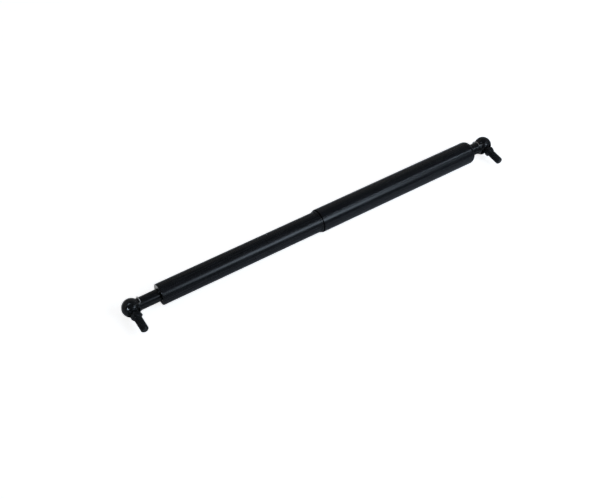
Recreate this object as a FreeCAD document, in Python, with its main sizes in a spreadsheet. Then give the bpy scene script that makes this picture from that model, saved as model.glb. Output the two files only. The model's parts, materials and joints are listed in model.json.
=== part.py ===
import FreeCAD, Part
import math
import os

import Sketcher

# Gas strut stay with a protective sleeve over its rod, fully extended.
# Frame: origin at the centre of the cylinder-end stud's seat, +X along the strut towards the rod
# end, both threaded studs point along -Y, +Z up. Millimetres.

DIMENSIONS = (
    ("BallCentres", 435.0, "distance between the two ball centres, strut extended"),
    ("BallRadius", 6.5, "ball of the stud"),
    ("BallGap", 0.05, "running gap between ball and cavity"),
    ("HousingRadius", 9.4, "spherical head of the socket"),
    ("MouthDepth", 6.3, "ball centre to the flat mouth of the socket"),
    ("MouthChamfer", 0.35, "chamfer inside the mouth"),
    ("ShankRadius", 6.4, "round shank of the socket"),
    ("ShankRoot", 6.75, "ball centre to the shank's root inside the head's wall"),
    ("ShankReach", 30.0, "ball centre to the end of the shank"),
    ("ShankFillet", 0.8, "fillet between head and shank"),
    ("ShankChamfer", 0.6, "chamfer at the end of the shank"),
    ("ThreadRadius", 4.0, "M8 thread, nominal"),
    ("ThreadGap", 0.02, "gap kept between mated threads"),
    ("TapDepth", 16.0, "depth of the tapped hole in the shank"),
    ("DrillPoint", 2.3, "depth of the drill point below the tapped hole"),
    ("ThreadGrip", 14.0, "length of thread screwed into a shank"),
    ("ThreadChamfer", 0.9, "chamfer at the tip of a screwed-in thread"),
    ("SeatDistance", 13.0, "ball centre to the stud's seat"),
    ("CollarThickness", 3.4, "hexagonal collar of the stud"),
    ("CollarAcrossFlats", 10.0, "wrench size of the collar"),
    ("CollarChamfer", 0.45, "height of the corner chamfer on the collar"),
    ("NeckRadius", 3.5, "neck between ball and collar"),
    ("StudLength", 16.5, "free thread below the seat"),
    ("StudChamfer", 1.2, "chamfer at the stud's tip"),
    ("SnapWireRadius", 0.6, "wire of the snap ring that retains the ball"),
    ("SnapDepth", 3.2, "ball centre to the snap ring's plane"),
    ("SnapGap", 0.05, "gap between snap ring and its neighbours"),
    ("SnapOpening", 24.0, "opening of the snap ring in degrees"),
    ("ClipWireRadius", 0.6, "wire of the safety clip"),
    ("ClipGap", 0.1, "gap between the clip and the surfaces that it follows"),
    ("ClipHoleRadius", 0.66, "cross hole for the clip's ends"),
    ("ClipPivotDepth", 4.9, "ball centre to the cross hole, along the stud"),
    ("ClipPivotOffset", 0.8, "ball centre to the cross hole, along the shank"),
    ("ClipTip", 5.6, "distance of the clip's tips from the middle plane"),
    ("ClipBowPlane", 8.95, "ball centre to the plane of the clip's bow"),
    ("ClipBowAngle", 115.0, "half angle of the clip's bow in degrees"),
    ("CylinderRadius", 11.0, "pressure cylinder"),
    ("CylinderWall", 1.5, "wall of the pressure cylinder"),
    ("CylinderEnd", 246.0, "ball centre to the cylinder's rod-side end"),
    ("CylinderRounding", 0.8, "outer rounding of the rolled ends"),
    ("LipThickness", 1.2, "rolled-in lip at each end of the cylinder"),
    ("PlugLipRadius", 7.2, "inner radius of the lip over the end plug"),
    ("RodLipRadius", 7.4, "inner radius of the lip over the closing washer"),
    ("StaticGap", 0.02, "gap of parts that sit still in the cylinder"),
    ("PlugBossRadius", 7.0, "raised middle of the end plug"),
    ("BossRecess", 0.8, "depth of the plug's raised middle below the cylinder's lip"),
    ("PlugLength", 10.8, "end plug inside the cylinder"),
    ("SealGrooveStart", 4.2, "plug's shoulder to its seal groove"),
    ("SealGrooveWidth", 2.4, "seal groove of the plug"),
    ("SealGrooveDepth", 1.6, "depth of the plug's seal groove"),
    ("WasherThickness", 2.0, "closing washer under the rolled lip"),
    ("WasherBore", 5.3, "closing washer"),
    ("GuideLength", 10.0, "rod guide"),
    ("GuideGap", 0.03, "running gap of the rod in its guide"),
    ("RodSealLength", 5.0, "rod seal"),
    ("SealLipGap", 0.02, "gap of the seal's lip on the rod"),
    ("SealHeelRadius", 7.0, "inner radius of the guide's recess and outer radius of the seal's heel"),
    ("SealHeelLength", 1.2, "depth of the guide's recess"),
    ("SealLipRadius", 6.4, "outer radius of the seal's lip"),
    ("SealLipLength", 2.4, "free length of the seal's lip"),
    ("SupportLength", 3.0, "support ring behind the rod seal"),
    ("SupportGap", 0.1, "gap of the rod in the support ring"),
    ("ExtendGap", 0.5, "space left between piston and support ring when extended"),
    ("RodRadius", 5.0, "piston rod"),
    ("RodShoulder", 401.0, "ball centre to the rod's shoulder at the rod end"),
    ("StemRadius", 3.0, "reduced end of the rod that carries the piston"),
    ("StemTip", 1.0, "stem left standing past the nut"),
    ("StopThickness", 2.0, "stop washer between rod and piston"),
    ("StopRadius", 7.6, "stop washer"),
    ("PistonRadius", 9.4, "piston"),
    ("PistonLength", 11.0, "piston"),
    ("RingGrooveStart", 4.0, "piston's face to its ring groove"),
    ("RingGrooveWidth", 3.0, "ring groove of the piston"),
    ("RingGrooveRadius", 7.4, "floor of the ring groove"),
    ("RingSideGap", 0.05, "side gap of the piston ring in its groove"),
    ("RingBackGap", 0.2, "gap behind the piston ring"),
    ("RingRunningGap", 0.04, "gap between piston ring and cylinder"),
    ("RingOpening", 6.0, "split of the piston ring in degrees"),
    ("PortRadius", 0.6, "flow ports through the piston"),
    ("PortCircle", 5.6, "radius of the circle of flow ports"),
    ("DiscThickness", 1.5, "flow disc behind the piston"),
    ("DiscRadius", 7.8, "flow disc"),
    ("NutThickness", 5.0, "piston nut"),
    ("NutAcrossFlats", 10.0, "piston nut"),
    ("SleeveRadius", 12.5, "protective sleeve over the rod"),
    ("SleeveWall", 1.0, "wall of the protective sleeve"),
    ("SleeveEnd", 415.8, "ball centre to the sleeve's closed end"),
    ("SleeveRounding", 6.3, "outer rounding of the sleeve's closed end"),
    ("SleeveHole", 6.6, "hole for the shank in the sleeve's closed end"),
    ("SleeveEdge", 0.2, "edge break at the sleeve's open end"),
    ("MouthStart", 209.6, "ball centre to the open end's collar"),
    ("MouthCollar", 2.4, "length of the guide ring's collar"),
    ("MouthRadius", 11.6, "collar of the guide ring"),
    ("MouthRounding", 0.35, "rounding of the collar's front edge"),
    ("MouthSpigot", 8.0, "length of the guide ring inside the sleeve"),
    ("MouthGap", 0.05, "running gap of the guide ring on the cylinder"),
    ("CarrierLength", 11.8, "carrier that holds the sleeve on the rod"),
    ("CarrierSeat", 2.0, "depth of the rod's seat in the carrier"),
    ("CarrierWeb", 4.0, "web of the carrier between rod and shank"),
    ("CarrierChamfer", 1.3, "outer chamfer of the carrier"),
)


def fill_sheet(doc):
    """Writes one row per driving dimension: meaning, value and alias."""
    sheet = doc.addObject("Spreadsheet::Sheet", "Dims")
    for number, (alias, value, meaning) in enumerate(DIMENSIONS, start=1):
        sheet.set("A%d" % number, meaning)
        sheet.set("B%d" % number, str(value))
        sheet.setAlias("B%d" % number, alias)
    doc.recompute()
    return sheet


def amount(sheet, expression):
    """The number that an expression on the sheet gives."""
    result = sheet.evalExpression(expression)
    return float(getattr(result, "Value", result))


def new_body(doc, label):
    body = doc.addObject("PartDesign::Body", label)
    body.Label = label
    return body


def origin_feature(body, role):
    """One of the body's own origin planes or axes."""
    return [item for item in body.Origin.OriginFeatures if item.Role == role][0]


def new_sketch(body, name, role="XY_Plane", offset=None):
    """A sketch on one of its own body's origin planes, moved along the plane's normal by offset."""
    sketch = body.newObject("Sketcher::SketchObject", name)
    sketch.AttachmentSupport = [(origin_feature(body, role), "")]
    sketch.MapMode = "FlatFace"
    if offset:
        sketch.setExpression("AttachmentOffset.Base.z", offset)
    return sketch


def bind_point(sketch, sheet, geometry, point, along, across):
    """Holds one point of a sketch at two expressions, measured from the sketch's origin."""
    for kind, axis, expression in (("DistanceX", -2, along), ("DistanceY", -1, across)):
        value = amount(sheet, expression)
        if abs(value) < 1e-9:
            sketch.addConstraint(Sketcher.Constraint("PointOnObject", geometry, point, axis))
            continue
        index = sketch.addConstraint(Sketcher.Constraint(kind, -1, 1, geometry, point, value))
        sketch.setExpression("Constraints[%d]" % index, expression)


def add_outline(sketch, sheet, corners):
    """A closed outline of straight lines through corners, each a pair of expressions."""
    points = [FreeCAD.Vector(amount(sheet, x), amount(sheet, y), 0) for x, y in corners]
    first = sketch.GeometryCount
    count = len(points)
    for number in range(count):
        line = Part.LineSegment(points[number], points[(number + 1) % count])
        sketch.addGeometry(line, False)
    for number, (x, y) in enumerate(corners):
        following = first + (number + 1) % count
        sketch.addConstraint(Sketcher.Constraint("Coincident", first + number, 2, following, 1))
        bind_point(sketch, sheet, first + number, 1, x, y)


def add_circle(sketch, sheet, along, across, radius):
    centre = FreeCAD.Vector(amount(sheet, along), amount(sheet, across), 0)
    circle = Part.Circle(centre, FreeCAD.Vector(0, 0, 1), amount(sheet, radius))
    index = sketch.addGeometry(circle, False)
    bind_point(sketch, sheet, index, 3, along, across)
    size = sketch.addConstraint(Sketcher.Constraint("Radius", index, amount(sheet, radius)))
    sketch.setExpression("Constraints[%d]" % size, radius)


def add_ball_outline(sketch, sheet, radius, start, stop, corners, axis="Vertical"):
    """An arc about the sketch's origin from start to stop degrees, closed by lines through corners.

    The arc's far end lies on the axis of turning. Its near end lies on the horizontal axis when
    start is 0, and else on the line through the last corner that is parallel to the axis.
    """
    centre = FreeCAD.Vector(0, 0, 0)
    circle = Part.Circle(centre, FreeCAD.Vector(0, 0, 1), amount(sheet, radius))
    arc = Part.ArcOfCircle(circle, math.radians(start), math.radians(stop))
    sketch.addGeometry(arc, False)
    sketch.addConstraint(Sketcher.Constraint("Coincident", 0, 3, -1, 1))
    size = sketch.addConstraint(Sketcher.Constraint("Radius", 0, amount(sheet, radius)))
    sketch.setExpression("Constraints[%d]" % size, radius)
    points = [FreeCAD.Vector(amount(sheet, x), amount(sheet, y), 0) for x, y in corners]
    points = [arc.EndPoint] + points + [arc.StartPoint]
    for number in range(len(points) - 1):
        sketch.addGeometry(Part.LineSegment(points[number], points[number + 1]), False)
    last = len(points) - 1
    sketch.addConstraint(Sketcher.Constraint("Coincident", 0, 2, 1, 1))
    sketch.addConstraint(Sketcher.Constraint("Coincident", last, 2, 0, 1))
    sketch.addConstraint(Sketcher.Constraint(axis, 1))
    if start:
        sketch.addConstraint(Sketcher.Constraint(axis, last))
    else:
        sketch.addConstraint(Sketcher.Constraint("PointOnObject", 0, 1, -1))
    for number, (x, y) in enumerate(corners, start=1):
        sketch.addConstraint(Sketcher.Constraint("Coincident", number, 2, number + 1, 1))
        bind_point(sketch, sheet, number, 2, x, y)


def turn(body, sketch, axis="H_Axis", cut=False):
    """Turns a sketch about one of its axes, adding material or cutting it away."""
    kind = "PartDesign::Groove" if cut else "PartDesign::Revolution"
    feature = body.newObject(kind, sketch.Name + "_turned")
    feature.Profile = sketch
    feature.ReferenceAxis = (sketch, [axis])
    feature.Angle = 360
    sketch.Visibility = False
    body.Document.recompute()
    return feature


def ring_edges(shape, radius, along):
    """Names of the circular edges about X with this radius at this distance along X."""
    names = []
    for number, edge in enumerate(shape.Edges, start=1):
        if edge.Degenerated or not isinstance(edge.Curve, Part.Circle):
            continue
        curve = edge.Curve
        if abs(curve.Radius - radius) < 1e-4 and abs(curve.Center.x - along) < 1e-4:
            names.append("Edge%d" % number)
    return names


def dress_ring(body, sheet, kind, size, rings):
    """Rounds or breaks circular edges; rings holds pairs of expressions, radius and place along X."""
    base = body.Tip
    names = []
    for radius, along in rings:
        names += ring_edges(base.Shape, amount(sheet, radius), amount(sheet, along))
    feature = body.newObject("PartDesign::" + kind, "%s_%s" % (body.Name, kind.lower()))
    feature.Base = (base, names)
    feature.setExpression("Radius" if kind == "Fillet" else "Size", size)
    body.Document.recompute()
    return feature


def turned_body(doc, sheet, label, corners):
    """A ring or shaft about the strut's axis; corners are (along, radius) expressions."""
    body = new_body(doc, label)
    sketch = new_sketch(body, label + "_profile")
    add_outline(sketch, sheet, corners)
    turn(body, sketch)
    return body


def place_on_strut(part):
    """Puts a part made about its own X axis on the strut's axis."""
    part.setExpression("Placement.Base.y", "Dims.SeatDistance")


def place_at_end(part, rod_end):
    """Puts a part made about a ball centre at one end; the rod end's shank points back along -X."""
    if rod_end:
        part.Placement = FreeCAD.Placement(
            FreeCAD.Vector(0, 0, 0), FreeCAD.Rotation(FreeCAD.Vector(0, 1, 0), 180)
        )
        part.setExpression("Placement.Base.x", "Dims.BallCentres")
    part.setExpression("Placement.Base.y", "Dims.SeatDistance")


# Pressure cylinder and what sits still in it ------------------------------------------------


# The cylinder's rolled face at its plugged end; the shank dips a little below it.
CYLINDER_FACE = "Dims.ShankReach - Dims.BossRecess"


def cylinder_tube(doc, sheet):
    start, end = CYLINDER_FACE, "Dims.CylinderEnd"
    bore = "Dims.CylinderRadius - Dims.CylinderWall"
    body = turned_body(doc, sheet, "cylinder_tube", (
        (start, "Dims.PlugLipRadius"),
        (start, "Dims.CylinderRadius"),
        (end, "Dims.CylinderRadius"),
        (end, "Dims.RodLipRadius"),
        (end + " - Dims.LipThickness", "Dims.RodLipRadius"),
        (end + " - Dims.LipThickness", bore),
        (start + " + Dims.LipThickness", bore),
        (start + " + Dims.LipThickness", "Dims.PlugLipRadius"),
    ))
    dress_ring(body, sheet, "Fillet", "Dims.CylinderRounding", (
        ("Dims.CylinderRadius", start),
        ("Dims.CylinderRadius", end),
    ))
    place_on_strut(body)
    return body


def cylinder_end_plug(doc, sheet):
    face = "Dims.ShankReach"
    shoulder = CYLINDER_FACE + " + Dims.LipThickness"
    outside = "Dims.CylinderRadius - Dims.CylinderWall - Dims.StaticGap"
    floor = "Dims.CylinderRadius - Dims.CylinderWall - Dims.SealGrooveDepth"
    groove = shoulder + " + Dims.SealGrooveStart"
    tip = face + " - Dims.ThreadGrip"
    body = turned_body(doc, sheet, "cylinder_end_plug", (
        (tip, "0"),
        (tip, "Dims.ThreadRadius - Dims.ThreadChamfer"),
        (tip + " + Dims.ThreadChamfer", "Dims.ThreadRadius"),
        (face, "Dims.ThreadRadius"),
        (face, "Dims.PlugBossRadius"),
        (shoulder, "Dims.PlugBossRadius"),
        (shoulder, outside),
        (groove, outside),
        (groove, floor),
        (groove + " + Dims.SealGrooveWidth", floor),
        (groove + " + Dims.SealGrooveWidth", outside),
        (shoulder + " + Dims.PlugLength", outside),
        (shoulder + " + Dims.PlugLength", "0"),
    ))
    place_on_strut(body)
    return body


def end_plug_seal(doc):
    """O-ring squeezed between the plug's groove and the cylinder's bore."""
    ring = doc.addObject("Part::Torus", "end_plug_seal")
    ring.Label = "end_plug_seal"
    section = "(Dims.SealGrooveDepth / 2 - Dims.StaticGap)"
    bore = "(Dims.CylinderRadius - Dims.CylinderWall)"
    ring.setExpression("Radius1", bore + " - Dims.SealGrooveDepth / 2")
    ring.setExpression("Radius2", section)
    ring.Placement = FreeCAD.Placement(
        FreeCAD.Vector(0, 0, 0), FreeCAD.Rotation(FreeCAD.Vector(0, 1, 0), 90)
    )
    start = CYLINDER_FACE + " + Dims.LipThickness + Dims.SealGrooveStart"
    ring.setExpression("Placement.Base.x", start + " + Dims.SealGrooveWidth / 2")
    ring.setExpression("Placement.Base.y", "Dims.SeatDistance")
    return ring


# Stations of the parts stacked behind the rod-side lip, from the open end inwards.
PACKAGE_OUTSIDE = "Dims.CylinderRadius - Dims.CylinderWall - Dims.StaticGap"
WASHER_FACE = "Dims.CylinderEnd - Dims.LipThickness"
GUIDE_FACE = WASHER_FACE + " - Dims.WasherThickness"
SEAL_FACE = GUIDE_FACE + " - Dims.GuideLength"
SUPPORT_FACE = SEAL_FACE + " - Dims.RodSealLength"
PACKAGE_END = SUPPORT_FACE + " - Dims.SupportLength"


def closing_washer(doc, sheet):
    body = turned_body(doc, sheet, "closing_washer", (
        (GUIDE_FACE, "Dims.WasherBore"),
        (GUIDE_FACE, PACKAGE_OUTSIDE),
        (WASHER_FACE, PACKAGE_OUTSIDE),
        (WASHER_FACE, "Dims.WasherBore"),
    ))
    place_on_strut(body)
    return body


def rod_guide(doc, sheet):
    """Guide bush with a recess in its inner face for the seal's heel."""
    bore = "Dims.RodRadius + Dims.GuideGap"
    recess = SEAL_FACE + " + Dims.SealHeelLength"
    body = turned_body(doc, sheet, "rod_guide", (
        (SEAL_FACE, "Dims.SealHeelRadius"),
        (SEAL_FACE, PACKAGE_OUTSIDE),
        (GUIDE_FACE, PACKAGE_OUTSIDE),
        (GUIDE_FACE, bore),
        (recess, bore),
        (recess, "Dims.SealHeelRadius"),
    ))
    place_on_strut(body)
    return body


def rod_seal(doc, sheet):
    """Lip seal: a heel in the guide's recess, an outer wall and a free lip around the rod."""
    bore = "Dims.RodRadius + Dims.SealLipGap"
    heel = SEAL_FACE + " + Dims.SealHeelLength"
    hollow = SUPPORT_FACE + " + Dims.SealLipLength"
    wall = PACKAGE_OUTSIDE + " - (Dims.SealLipRadius - Dims.RodRadius)"
    body = turned_body(doc, sheet, "rod_seal", (
        (SUPPORT_FACE, bore),
        (SUPPORT_FACE, "Dims.SealLipRadius"),
        (hollow, "Dims.SealLipRadius"),
        (hollow, wall),
        (SUPPORT_FACE, wall),
        (SUPPORT_FACE, PACKAGE_OUTSIDE),
        (SEAL_FACE, PACKAGE_OUTSIDE),
        (SEAL_FACE, "Dims.SealHeelRadius - Dims.StaticGap"),
        (heel, "Dims.SealHeelRadius - Dims.StaticGap"),
        (heel, bore),
    ))
    place_on_strut(body)
    return body


def seal_support_ring(doc, sheet):
    bore = "Dims.RodRadius + Dims.SupportGap"
    body = turned_body(doc, sheet, "seal_support_ring", (
        (PACKAGE_END, bore),
        (PACKAGE_END, PACKAGE_OUTSIDE),
        (SUPPORT_FACE, PACKAGE_OUTSIDE),
        (SUPPORT_FACE, bore),
    ))
    place_on_strut(body)
    return body


# Piston rod and what travels with it --------------------------------------------------------

# Stations of the piston's stack on the rod's stem, from the rod's body inwards.
STOP_FACE = PACKAGE_END + " - Dims.ExtendGap"
PISTON_FACE = STOP_FACE + " - Dims.StopThickness"
DISC_FACE = PISTON_FACE + " - Dims.PistonLength"
NUT_FACE = DISC_FACE + " - Dims.DiscThickness"
NUT_END = NUT_FACE + " - Dims.NutThickness"
STEM_END = NUT_END + " - Dims.StemTip"
STEM_BORE = "Dims.StemRadius + Dims.ThreadGap"


def piston_rod(doc, sheet):
    tip = "Dims.RodShoulder + Dims.CarrierWeb + Dims.ThreadGrip"
    edge = "Dims.ThreadChamfer / 2"
    body = turned_body(doc, sheet, "piston_rod", (
        (STEM_END, "0"),
        (STEM_END, "Dims.StemRadius - " + edge),
        (STEM_END + " + " + edge, "Dims.StemRadius"),
        (STOP_FACE, "Dims.StemRadius"),
        (STOP_FACE, "Dims.RodRadius"),
        ("Dims.RodShoulder", "Dims.RodRadius"),
        ("Dims.RodShoulder", "Dims.ThreadRadius"),
        (tip + " - Dims.ThreadChamfer", "Dims.ThreadRadius"),
        (tip, "Dims.ThreadRadius - Dims.ThreadChamfer"),
        (tip, "0"),
    ))
    place_on_strut(body)
    return body


def piston_stop_washer(doc, sheet):
    body = turned_body(doc, sheet, "piston_stop_washer", (
        (PISTON_FACE, STEM_BORE),
        (PISTON_FACE, "Dims.StopRadius"),
        (STOP_FACE, "Dims.StopRadius"),
        (STOP_FACE, STEM_BORE),
    ))
    place_on_strut(body)
    return body


def piston(doc, sheet):
    """Piston with a ring groove and three flow ports."""
    groove = PISTON_FACE + " - Dims.RingGrooveStart"
    floor = groove + " - Dims.RingGrooveWidth"
    body = turned_body(doc, sheet, "piston", (
        (DISC_FACE, STEM_BORE),
        (DISC_FACE, "Dims.PistonRadius"),
        (floor, "Dims.PistonRadius"),
        (floor, "Dims.RingGrooveRadius"),
        (groove, "Dims.RingGrooveRadius"),
        (groove, "Dims.PistonRadius"),
        (PISTON_FACE, "Dims.PistonRadius"),
        (PISTON_FACE, STEM_BORE),
    ))
    sketch = new_sketch(body, "piston_port", "YZ_Plane", DISC_FACE)
    add_circle(sketch, sheet, "Dims.PortCircle", "0", "Dims.PortRadius")
    port = body.newObject("PartDesign::Pocket", "piston_port_cut")
    port.Profile = sketch
    port.Type = "ThroughAll"
    port.Reversed = True
    sketch.Visibility = False
    doc.recompute()
    ports = body.newObject("PartDesign::PolarPattern", "piston_ports")
    ports.Originals = [port]
    ports.Axis = (origin_feature(body, "X_Axis"), [""])
    ports.Angle = 360
    ports.Occurrences = 3
    body.Tip = ports
    place_on_strut(body)
    return body


def piston_ring(doc, sheet):
    """Split ring that runs on the cylinder's bore, free in the piston's groove."""
    outside = "Dims.CylinderRadius - Dims.CylinderWall - Dims.RingRunningGap"
    inside = "Dims.RingGrooveRadius + Dims.RingBackGap"
    near = PISTON_FACE + " - Dims.RingGrooveStart - Dims.RingSideGap"
    far = PISTON_FACE + " - Dims.RingGrooveStart - Dims.RingGrooveWidth + Dims.RingSideGap"
    body = turned_body(doc, sheet, "piston_ring", (
        (far, inside),
        (far, outside),
        (near, outside),
        (near, inside),
    ))
    body.Tip.setExpression("Angle", "360 - Dims.RingOpening")
    place_on_strut(body)
    return body


def flow_disc(doc, sheet):
    body = turned_body(doc, sheet, "flow_disc", (
        (NUT_FACE, STEM_BORE),
        (NUT_FACE, "Dims.DiscRadius"),
        (DISC_FACE, "Dims.DiscRadius"),
        (DISC_FACE, STEM_BORE),
    ))
    place_on_strut(body)
    return body


def piston_nut(doc, sheet):
    """Hexagonal nut on the stem."""
    nut = hexagonal_blank(doc, "piston_nut_blank", "Dims.NutAcrossFlats", "Dims.NutThickness")
    nut.Placement = FreeCAD.Placement(
        FreeCAD.Vector(0, 0, 0), FreeCAD.Rotation(FreeCAD.Vector(0, 1, 0), 90)
    )
    nut.setExpression("Placement.Base.x", NUT_END)
    hole = doc.addObject("Part::Cylinder", "piston_nut_hole")
    hole.Placement = nut.Placement
    hole.setExpression("Placement.Base.x", NUT_END)
    hole.setExpression("Radius", STEM_BORE)
    hole.setExpression("Height", "Dims.NutThickness")
    cut = doc.addObject("Part::Cut", "piston_nut")
    cut.Label = "piston_nut"
    cut.Base = nut
    cut.Tool = hole
    place_on_strut(cut)
    return cut


def hexagonal_blank(doc, name, across_flats, height):
    blank = doc.addObject("Part::Prism", name)
    blank.Polygon = 6
    blank.setExpression("Circumradius", across_flats + " / sqrt(3)")
    blank.setExpression("Height", height)
    return blank


def tube_carrier(doc, sheet):
    """Turned plug that carries the sleeve, clamped between the rod's shoulder and the shank."""
    web = "Dims.RodShoulder"
    seat = web + " + Dims.CarrierWeb"
    start = web + " - Dims.CarrierSeat"
    end = start + " + Dims.CarrierLength"
    outside = "Dims.SleeveRadius - Dims.SleeveWall"
    body = turned_body(doc, sheet, "tube_carrier", (
        (start, "Dims.RodRadius + Dims.GuideGap"),
        (start, outside),
        (end + " - Dims.CarrierChamfer", outside),
        (end, outside + " - Dims.CarrierChamfer"),
        (end, "Dims.SleeveHole"),
        (seat, "Dims.SleeveHole"),
        (seat, "Dims.ThreadRadius + Dims.ThreadGap"),
        (web, "Dims.ThreadRadius + Dims.ThreadGap"),
        (web, "Dims.RodRadius + Dims.GuideGap"),
    ))
    place_on_strut(body)
    return body


def protective_tube(doc, sheet):
    """Sleeve with a rounded closed end that leaves a hole for the shank."""
    start = "Dims.MouthStart + Dims.MouthCollar"
    inside = "Dims.SleeveRadius - Dims.SleeveWall"
    floor = "Dims.SleeveEnd - Dims.SleeveWall"
    pilot = "Dims.SleeveHole / 2"
    body = turned_body(doc, sheet, "protective_tube", (
        (start, inside),
        (start, "Dims.SleeveRadius"),
        ("Dims.SleeveEnd", "Dims.SleeveRadius"),
        ("Dims.SleeveEnd", pilot),
        (floor, pilot),
        (floor, inside),
    ))
    dress_ring(body, sheet, "Fillet", "Dims.SleeveRounding", (
        ("Dims.SleeveRadius", "Dims.SleeveEnd"),
    ))
    dress_ring(body, sheet, "Fillet", "Dims.SleeveRounding - Dims.SleeveWall", ((inside, floor),))
    dress_ring(body, sheet, "Chamfer", "Dims.SleeveEdge", (("Dims.SleeveRadius", start),))
    sketch = new_sketch(body, "protective_tube_hole")
    add_outline(sketch, sheet, (
        ("Dims.SleeveEnd - Dims.SleeveRadius", "0"),
        ("Dims.SleeveEnd - Dims.SleeveRadius", "Dims.SleeveHole"),
        ("Dims.SleeveEnd + Dims.SleeveWall", "Dims.SleeveHole"),
        ("Dims.SleeveEnd + Dims.SleeveWall", "0"),
    ))
    turn(body, sketch, cut=True)
    place_on_strut(body)
    return body


def mouth_guide_ring(doc, sheet):
    """Ring in the sleeve's open end that runs on the cylinder, with a low collar before the sleeve."""
    collar = "Dims.MouthStart + Dims.MouthCollar"
    inside = "Dims.SleeveRadius - Dims.SleeveWall"
    bore = "Dims.CylinderRadius + Dims.MouthGap"
    body = turned_body(doc, sheet, "mouth_guide_ring", (
        ("Dims.MouthStart", bore),
        ("Dims.MouthStart", "Dims.MouthRadius"),
        (collar, "Dims.MouthRadius"),
        (collar, inside),
        (collar + " + Dims.MouthSpigot", inside),
        (collar + " + Dims.MouthSpigot", bore),
    ))
    dress_ring(body, sheet, "Fillet", "Dims.MouthRounding", (
        ("Dims.MouthRadius", "Dims.MouthStart"),
    ))
    place_on_strut(body)
    return body


# Ball joints, made about the ball's centre: shank along +X, stud along -Y ---------------------


def joined(doc, kind, name, shapes):
    """A boolean of document objects: Part::MultiFuse of shapes, or Part::Cut of the first two."""
    result = doc.addObject(kind, name)
    if kind == "Part::Cut":
        result.Base, result.Tool = shapes
    else:
        result.Shapes = shapes
    return result


def round_ball(doc, name, radius):
    ball = doc.addObject("Part::Sphere", name)
    ball.setExpression("Radius", radius)
    return ball


def socket_shank(doc, sheet, label):
    """Tapped shank with chamfered end; its root lies inside the head's wall."""
    tap_end = "Dims.ShankReach - Dims.TapDepth"
    tap = "Dims.ThreadRadius + Dims.ThreadGap"
    return turned_body(doc, sheet, label + "_shank", (
        ("Dims.ShankRoot", "0"),
        (tap_end + " - Dims.DrillPoint", "0"),
        (tap_end, tap),
        ("Dims.ShankReach", tap),
        ("Dims.ShankReach", "Dims.ShankRadius - Dims.ShankChamfer"),
        ("Dims.ShankReach - Dims.ShankChamfer", "Dims.ShankRadius"),
        ("Dims.ShankRoot", "Dims.ShankRadius"),
    ))


def socket_bore(doc, sheet, label):
    """What is cut from the head below the ball's centre: bore, snap groove and all past the mouth."""
    bore = "Dims.BallRadius + Dims.BallGap"
    groove = "%s + Dims.SnapWireRadius + Dims.SnapGap" % snap_ring_radius()
    low = "-Dims.SnapDepth - Dims.SnapWireRadius - Dims.SnapGap"
    high = "-Dims.SnapDepth + Dims.SnapWireRadius + Dims.SnapGap"
    body = new_body(doc, label + "_bore")
    sketch = new_sketch(body, label + "_bore_profile")
    add_outline(sketch, sheet, (
        ("0", "0"),
        ("0", "-Dims.HousingRadius"),
        ("Dims.HousingRadius", "-Dims.HousingRadius"),
        ("Dims.HousingRadius", "-Dims.MouthDepth"),
        (bore + " + Dims.MouthChamfer", "-Dims.MouthDepth"),
        (bore, "-Dims.MouthDepth + Dims.MouthChamfer"),
        (bore, low),
        (groove, low),
        (groove, high),
        (bore, high),
        (bore, "0"),
    ))
    turn(body, sketch, "V_Axis")
    return body


def root_fillet(doc, sheet, outside):
    """Fillet where the shank leaves the head."""
    doc.recompute()
    root = amount(sheet, "sqrt(Dims.HousingRadius ^ 2 - Dims.ShankRadius ^ 2)")
    size = amount(sheet, "Dims.ShankFillet")
    fillet = doc.addObject("Part::Fillet", outside.Name + "_fillet")
    fillet.Base = outside
    names = ring_edges(outside.Shape, amount(sheet, "Dims.ShankRadius"), root)
    fillet.Edges = [(int(name[len("Edge"):]), size, size) for name in names]
    return fillet


def cross_hole(doc, label):
    """Hole through both walls of the head for the safety clip's ends."""
    hole = doc.addObject("Part::Cylinder", label + "_cross_hole")
    hole.setExpression("Radius", "Dims.ClipHoleRadius")
    hole.setExpression("Height", "Dims.HousingRadius * 2")
    hole.setExpression("Placement.Base.x", "Dims.ClipPivotOffset")
    hole.setExpression("Placement.Base.y", "-Dims.ClipPivotDepth")
    hole.setExpression("Placement.Base.z", "-Dims.HousingRadius")
    return hole


def ball_socket(doc, sheet, label, rod_end):
    """Spherical head with a tapped shank, a ball cavity open along -Y and a cross hole."""
    head = round_ball(doc, label + "_head", "Dims.HousingRadius")
    shank = socket_shank(doc, sheet, label)
    outside = joined(doc, "Part::MultiFuse", label + "_outside", [head, shank])
    blended = root_fillet(doc, sheet, outside)
    cavity = round_ball(doc, label + "_cavity", "Dims.BallRadius + Dims.BallGap")
    tools = [cavity, socket_bore(doc, sheet, label), cross_hole(doc, label)]
    inside = joined(doc, "Part::MultiFuse", label + "_inside", tools)
    socket = joined(doc, "Part::Cut", label, [blended, inside])
    socket.Label = label
    place_at_end(socket, rod_end)
    return socket


def snap_ring_radius():
    """Radius of the snap ring's middle line: its wire just clears the ball."""
    reach = "(Dims.BallRadius + Dims.SnapWireRadius + Dims.SnapGap)"
    return "sqrt(%s ^ 2 - Dims.SnapDepth ^ 2)" % reach


def ball_retaining_ring(doc, sheet, label, rod_end):
    """Open wire ring in the socket's groove, below the ball's widest circle."""
    body = new_body(doc, label)
    section = new_sketch(body, label + "_section")
    add_circle(section, sheet, snap_ring_radius(), "-Dims.SnapDepth", "Dims.SnapWireRadius")
    ring = turn(body, section, "V_Axis")
    ring.setExpression("Angle", "360 - Dims.SnapOpening")
    place_at_end(body, rod_end)
    return body


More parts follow.
